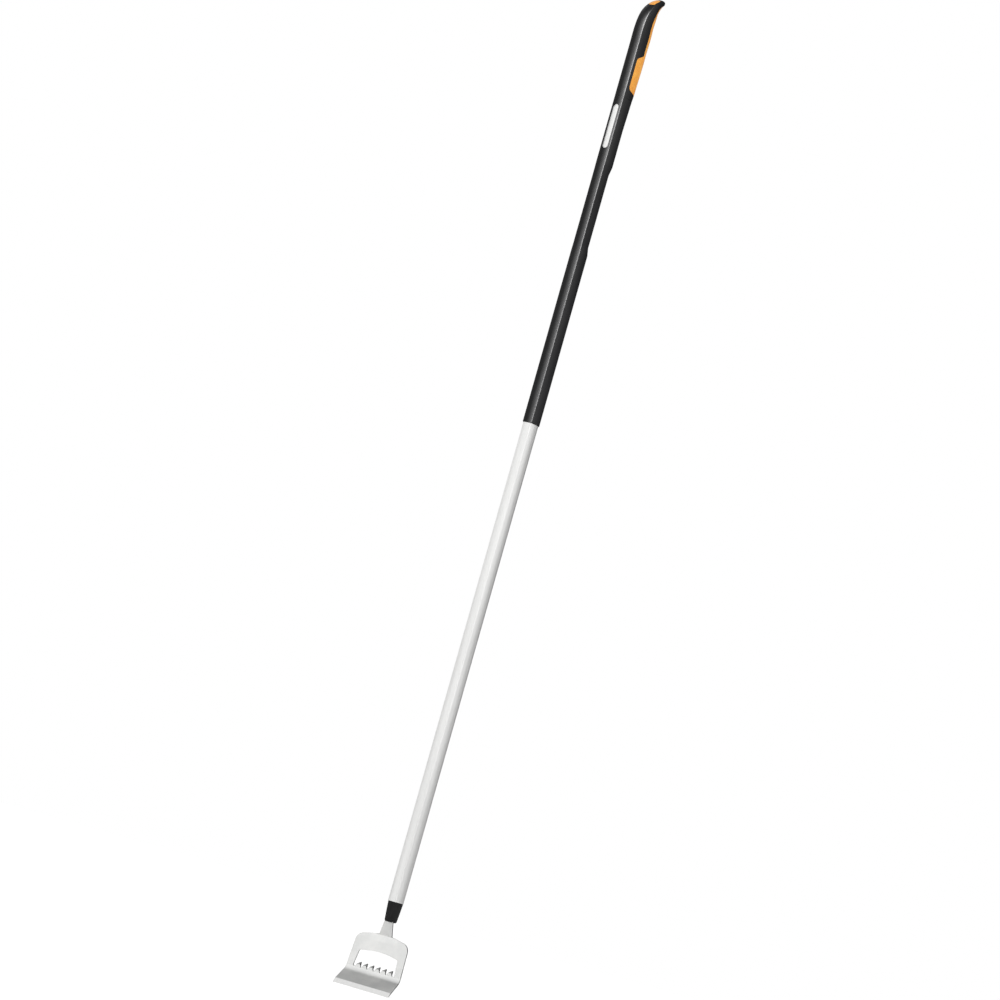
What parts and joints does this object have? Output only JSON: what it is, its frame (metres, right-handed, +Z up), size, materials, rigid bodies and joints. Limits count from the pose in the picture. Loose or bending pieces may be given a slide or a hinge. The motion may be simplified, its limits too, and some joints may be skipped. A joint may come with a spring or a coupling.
{
  "type": "floor scraper",
  "caption": "Long-handled floor scraper: bent steel head with a toothed window, tube shaft, long grip sleeve and hooked soft-backed handle.",
  "frame": {"origin": "middle of the cutting edge, on the floor line", "axes": "+Z up along the shaft, +X across the blade to the tool's right seen from the front, -Y the front that the blade leans towards"},
  "size_m": [0.1, 0.0787, 1.6422],
  "materials": {
    "head_steel": "light lacquered steel, ground to a bright bevel at the edge",
    "ferrule_plastic": "fine-grained black nylon",
    "clamp_plastic": "moulded black nylon",
    "fastener_steel": "zinc-plated steel",
    "shaft_aluminium": "satin anodised, drawn along the shaft",
    "fastener_aluminium": "bare aluminium",
    "grip_plastic": "fine-grained black plastic",
    "handle_plastic": "semi-gloss black plastic",
    "soft_rubber": "satin orange soft plastic",
    "inlay_rubber": "satin orange soft plastic"
  },
  "bodies": {
    "root": {"scraper_head": "head_steel", "ferrule": "ferrule_plastic", "clamp_front": "clamp_plastic", "clamp_back": "clamp_plastic", "clamp_rivets": "fastener_steel", "shaft_tube": "shaft_aluminium", "shaft_rivet": "fastener_aluminium", "shaft_rivet_stem": "fastener_steel", "grip_sleeve": "grip_plastic", "hook_handle": "handle_plastic", "handle_pin": "fastener_steel", "rear_soft_grip": "soft_rubber", "crown_inlay": "inlay_rubber"}
  },
  "joints": []
}
